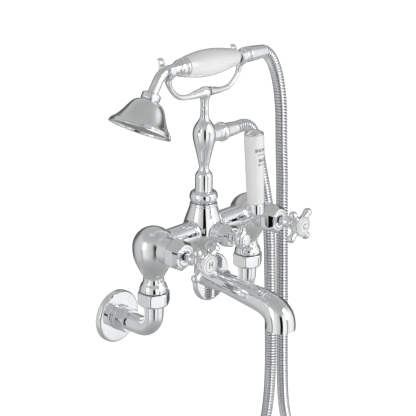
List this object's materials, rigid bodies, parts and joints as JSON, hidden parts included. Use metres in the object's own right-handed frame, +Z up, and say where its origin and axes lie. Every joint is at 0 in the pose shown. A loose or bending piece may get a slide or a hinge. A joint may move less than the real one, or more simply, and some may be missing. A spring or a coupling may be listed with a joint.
{
  "type": "wall mounted bath faucet",
  "caption": "Traditional wall mounted bath and shower mixer with cross handles, a lever diverter, a spout and a hand shower in a cradle.",
  "frame": {"origin": "on the wall surface, midway between the two inlet centres", "axes": "+X right when facing the wall, +Y into the wall, +Z up"},
  "size_m": [0.3735, 0.2312, 0.7635],
  "materials": {
    "chrome": "polished",
    "brass": "machined",
    "porcelain": "glazed",
    "technical_ceramic": "lapped",
    "rubber": "matte",
    "white_plastic": "satin",
    "hose_metal": "polished spiral"
  },
  "bodies": {
    "mixer": {"hot_wall_connector": "brass", "hot_wall_flange": "chrome", "hot_wall_nut": "chrome", "hot_elbow": "chrome", "hot_union_nut": "chrome", "hot_pillar": "chrome", "hot_bonnet": "chrome", "hot_cartridge": "brass", "cold_wall_connector": "brass", "cold_wall_flange": "chrome", "cold_wall_nut": "chrome", "cold_elbow": "chrome", "cold_union_nut": "chrome", "cold_pillar": "chrome", "cold_bonnet": "chrome", "cold_cartridge": "brass", "inlet_washers": "rubber", "fixed_discs": "technical_ceramic", "o_rings": "rubber", "cross_tubes": "chrome", "centre_body": "chrome", "diverter_nut": "chrome", "diverter_cartridge": "brass", "riser_nut": "chrome", "riser_washers": "rubber", "riser": "chrome", "hose_outlet": "chrome", "spout": "chrome", "flow_straightener": "white_plastic", "riser_hose_nut": "chrome", "hose": "hose_metal"},
    "hot_handle": {"hot_spindle": "brass", "hot_moving_disc": "technical_ceramic", "hot_cross_handle": "chrome", "hot_index_button": "porcelain", "hot_handle_screw": "chrome"},
    "cold_handle": {"cold_spindle": "brass", "cold_moving_disc": "technical_ceramic", "cold_cross_handle": "chrome", "cold_index_button": "porcelain", "cold_handle_screw": "chrome"},
    "diverter_lever": {"diverter_spindle": "brass", "diverter_disc": "technical_ceramic", "lever_arm": "chrome", "lever_cap_screw": "chrome", "lever_ferrule": "chrome", "lever_rod": "brass", "porcelain_lever": "porcelain", "lever_top": "chrome"},
    "cradle": {"cradle": "chrome"},
    "handset": {"handset_neck": "chrome", "rose_nut": "chrome", "handset_washers": "rubber", "rose_bell": "chrome", "spray_plate": "chrome", "grip_tube": "brass", "porcelain_grip": "porcelain", "handset_tail": "chrome", "handset_hose_nut": "chrome"}
  },
  "joints": [
    {"name": "hot_turn", "type": "hinge", "parent": "mixer", "child": "hot_handle", "pos_m": [-0.09, -0.1, 0.11], "axis": [0, -1, 0], "range_deg": [0, 90]},
    {"name": "cold_turn", "type": "hinge", "parent": "mixer", "child": "cold_handle", "pos_m": [0.09, -0.1, 0.11], "axis": [0, -1, 0], "range_deg": [-90, 0]},
    {"name": "diverter_turn", "type": "hinge", "parent": "mixer", "child": "diverter_lever", "pos_m": [0, -0.1, 0.11], "axis": [0, -1, 0], "range_deg": [-45, 45]},
    {"name": "cradle_swivel", "type": "hinge", "parent": "mixer", "child": "cradle", "pos_m": [0, -0.0685, 0.26], "axis": [0, 0, 1], "range_deg": [-15, 30], "deforming": ["hose"]},
    {"name": "handset_lift", "type": "slide", "parent": "cradle", "child": "handset", "axis": [0, 0, 1], "range_m": [0, 0.05], "deforming": ["hose"]}
  ]
}
